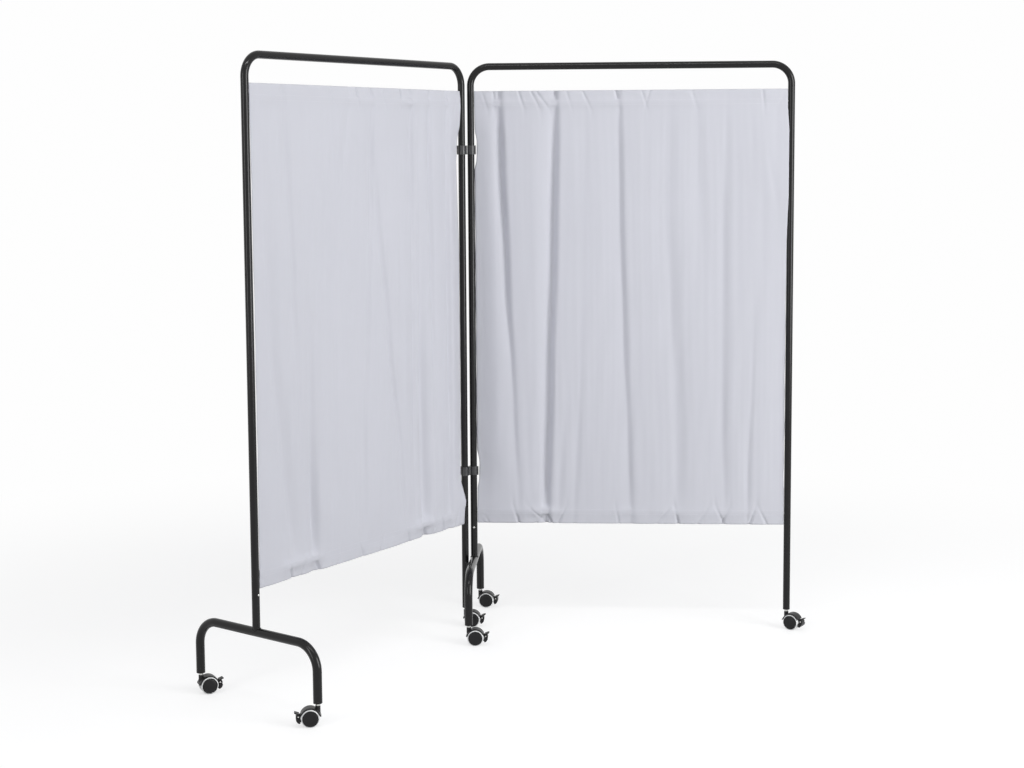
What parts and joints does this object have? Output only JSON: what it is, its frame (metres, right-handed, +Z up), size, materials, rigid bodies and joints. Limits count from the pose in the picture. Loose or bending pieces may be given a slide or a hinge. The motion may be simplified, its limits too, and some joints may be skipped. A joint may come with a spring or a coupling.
{
  "type": "ward privacy screen on wheels",
  "caption": "Folding ward privacy screen: two curtained steel tube panels on braked swivel casters, joined by plastic hinge clips.",
  "frame": {"origin": "on the floor, at the middle of the screen's plan, as it stands with its panels at 120 degrees", "axes": "+X along the right panel from its foot to its far post, +Y towards the rear, +Z up"},
  "size_m": [1.7932, 1.2896, 1.7996],
  "materials": {
    "powder_coat": "satin black powder coat",
    "steel": "bright zinc plate",
    "curtain_cloth": "plain matt weave, pale grey",
    "black_plastic": "moulded nylon, light sheen",
    "tread": "matt pale grey tread"
  },
  "bodies": {
    "right_panel": {"right_frame": "powder_coat", "right_foot": "powder_coat", "right_top_rod": "steel", "right_bottom_rod": "steel", "right_curtain": "curtain_cloth", "right_front_leg_socket": "black_plastic", "right_front_caster_stem": "steel", "right_rear_leg_socket": "black_plastic", "right_rear_caster_stem": "steel", "right_end_leg_socket": "black_plastic", "right_end_caster_stem": "steel"},
    "hinge_clips": {"upper_hinge_clip": "black_plastic", "lower_hinge_clip": "black_plastic"},
    "left_panel": {"left_frame": "powder_coat", "left_foot": "powder_coat", "left_top_rod": "steel", "left_bottom_rod": "steel", "left_curtain": "curtain_cloth", "left_front_leg_socket": "black_plastic", "left_front_caster_stem": "steel", "left_rear_leg_socket": "black_plastic", "left_rear_caster_stem": "steel", "left_hinge_leg_socket": "black_plastic", "left_hinge_caster_stem": "steel"},
    "left_front_caster": {"left_front_caster_housing": "black_plastic"},
    "left_front_left_wheel": {"left_front_left_hub": "black_plastic", "left_front_left_tyre": "tread"},
    "left_front_right_wheel": {"left_front_right_hub": "black_plastic", "left_front_right_tyre": "tread"},
    "left_front_brake": {"left_front_brake_lever": "black_plastic"},
    "left_rear_caster": {"left_rear_caster_housing": "black_plastic"},
    "left_rear_left_wheel": {"left_rear_left_hub": "black_plastic", "left_rear_left_tyre": "tread"},
    "left_rear_right_wheel": {"left_rear_right_hub": "black_plastic", "left_rear_right_tyre": "tread"},
    "left_rear_brake": {"left_rear_brake_lever": "black_plastic"},
    "left_hinge_caster": {"left_hinge_caster_housing": "black_plastic"},
    "left_hinge_left_wheel": {"left_hinge_left_hub": "black_plastic", "left_hinge_left_tyre": "tread"},
    "left_hinge_right_wheel": {"left_hinge_right_hub": "black_plastic", "left_hinge_right_tyre": "tread"},
    "left_hinge_brake": {"left_hinge_brake_lever": "black_plastic"},
    "right_front_caster": {"right_front_caster_housing": "black_plastic"},
    "right_front_left_wheel": {"right_front_left_hub": "black_plastic", "right_front_left_tyre": "tread"},
    "right_front_right_wheel": {"right_front_right_hub": "black_plastic", "right_front_right_tyre": "tread"},
    "right_front_brake": {"right_front_brake_lever": "black_plastic"},
    "right_rear_caster": {"right_rear_caster_housing": "black_plastic"},
    "right_rear_left_wheel": {"right_rear_left_hub": "black_plastic", "right_rear_left_tyre": "tread"},
    "right_rear_right_wheel": {"right_rear_right_hub": "black_plastic", "right_rear_right_tyre": "tread"},
    "right_rear_brake": {"right_rear_brake_lever": "black_plastic"},
    "right_end_caster": {"right_end_caster_housing": "black_plastic"},
    "right_end_left_wheel": {"right_end_left_hub": "black_plastic", "right_end_left_tyre": "tread"},
    "right_end_right_wheel": {"right_end_right_hub": "black_plastic", "right_end_right_tyre": "tread"},
    "right_end_brake": {"right_end_brake_lever": "black_plastic"}
  },
  "joints": [
    {"name": "clip_turn", "type": "hinge", "parent": "right_panel", "child": "hinge_clips", "pos_m": [-0.16302, 0.39491, 1.019], "axis": [0, 0, 1], "range_deg": [-68, 8]},
    {"name": "panel_fold", "type": "hinge", "parent": "hinge_clips", "child": "left_panel", "pos_m": [-0.19073, 0.37891, 1.019], "axis": [0, 0, 1], "range_deg": [-150, 90]},
    {"name": "left_front_swivel", "type": "hinge", "parent": "left_panel", "child": "left_front_caster", "pos_m": [-0.50119, -0.61739, 0.056], "axis": [0, 0, 1], "continuous": true},
    {"name": "left_front_left_roll", "type": "hinge", "parent": "left_front_caster", "child": "left_front_left_wheel", "pos_m": [-0.52173, -0.62176, 0.025], "axis": [0.2079, -0.9781, 0], "continuous": true},
    {"name": "left_front_right_roll", "type": "hinge", "parent": "left_front_caster", "child": "left_front_right_wheel", "pos_m": [-0.52173, -0.62176, 0.025], "axis": [0.2079, -0.9781, 0], "continuous": true},
    {"name": "left_front_brake_press", "type": "hinge", "parent": "left_front_caster", "child": "left_front_brake", "pos_m": [-0.55268, -0.62834, 0.029], "axis": [0.2079, -0.9781, 0], "range_deg": [0, 12]},
    {"name": "left_rear_swivel", "type": "hinge", "parent": "left_panel", "child": "left_rear_caster", "pos_m": [-0.88028, -0.35685, 0.056], "axis": [0, 0, 1], "continuous": true},
    {"name": "left_rear_left_roll", "type": "hinge", "parent": "left_rear_caster", "child": "left_rear_left_wheel", "pos_m": [-0.86174, -0.34699, 0.025], "axis": [-0.4695, 0.8829, 0], "continuous": true},
    {"name": "left_rear_right_roll", "type": "hinge", "parent": "left_rear_caster", "child": "left_rear_right_wheel", "pos_m": [-0.86174, -0.34699, 0.025], "axis": [-0.4695, 0.8829, 0], "continuous": true},
    {"name": "left_rear_brake_press", "type": "hinge", "parent": "left_rear_caster", "child": "left_rear_brake", "pos_m": [-0.8338, -0.33213, 0.029], "axis": [-0.4695, 0.8829, 0], "range_deg": [0, 12]},
    {"name": "left_hinge_swivel", "type": "hinge", "parent": "left_panel", "child": "left_hinge_caster", "pos_m": [-0.19073, 0.37891, 0.056], "axis": [0, 0, 1], "continuous": true},
    {"name": "left_hinge_left_roll", "type": "hinge", "parent": "left_hinge_caster", "child": "left_hinge_left_wheel", "pos_m": [-0.16974, 0.37927, 0.025], "axis": [-0.0175, 0.9998, 0], "continuous": true},
    {"name": "left_hinge_right_roll", "type": "hinge", "parent": "left_hinge_caster", "child": "left_hinge_right_wheel", "pos_m": [-0.16974, 0.37927, 0.025], "axis": [-0.0175, 0.9998, 0], "continuous": true},
    {"name": "left_hinge_brake_press", "type": "hinge", "parent": "left_hinge_caster", "child": "left_hinge_brake", "pos_m": [-0.13809, 0.37983, 0.029], "axis": [-0.0175, 0.9998, 0], "range_deg": [0, 12]},
    {"name": "right_front_swivel", "type": "hinge", "parent": "right_panel", "child": "right_front_caster", "pos_m": [-0.16302, 0.16491, 0.056], "axis": [0, 0, 1], "continuous": true},
    {"name": "right_front_left_roll", "type": "hinge", "parent": "right_front_caster", "child": "right_front_left_wheel", "pos_m": [-0.14203, 0.16564, 0.025], "axis": [-0.0349, 0.9994, 0], "continuous": true},
    {"name": "right_front_right_roll", "type": "hinge", "parent": "right_front_caster", "child": "right_front_right_wheel", "pos_m": [-0.14203, 0.16564, 0.025], "axis": [-0.0349, 0.9994, 0], "continuous": true},
    {"name": "right_front_brake_press", "type": "hinge", "parent": "right_front_caster", "child": "right_front_brake", "pos_m": [-0.11041, 0.16674, 0.029], "axis": [-0.0349, 0.9994, 0], "range_deg": [0, 12]},
    {"name": "right_rear_swivel", "type": "hinge", "parent": "right_panel", "child": "right_rear_caster", "pos_m": [-0.16302, 0.62491, 0.056], "axis": [0, 0, 1], "continuous": true},
    {"name": "right_rear_left_roll", "type": "hinge", "parent": "right_rear_caster", "child": "right_rear_left_wheel", "pos_m": [-0.14205, 0.62381, 0.025], "axis": [0.0523, 0.9986, 0], "continuous": true},
    {"name": "right_rear_right_roll", "type": "hinge", "parent": "right_rear_caster", "child": "right_rear_right_wheel", "pos_m": [-0.14205, 0.62381, 0.025], "axis": [0.0523, 0.9986, 0], "continuous": true},
    {"name": "right_rear_brake_press", "type": "hinge", "parent": "right_rear_caster", "child": "right_rear_brake", "pos_m": [-0.11045, 0.62215, 0.029], "axis": [0.0523, 0.9986, 0], "range_deg": [0, 12]},
    {"name": "right_end_swivel", "type": "hinge", "parent": "right_panel", "child": "right_end_caster", "pos_m": [0.83698, 0.39491, 0.056], "axis": [0, 0, 1], "continuous": true},
    {"name": "right_end_left_roll", "type": "hinge", "parent": "right_end_caster", "child": "right_end_left_wheel", "pos_m": [0.85516, 0.38441, 0.025], "axis": [0.5, 0.866, 0], "continuous": true},
    {"name": "right_end_right_roll", "type": "hinge", "parent": "right_end_caster", "child": "right_end_right_wheel", "pos_m": [0.85516, 0.38441, 0.025], "axis": [0.5, 0.866, 0], "continuous": true},
    {"name": "right_end_brake_press", "type": "hinge", "parent": "right_end_caster", "child": "right_end_brake", "pos_m": [0.88257, 0.36858, 0.029], "axis": [0.5, 0.866, 0], "range_deg": [0, 12]}
  ]
}
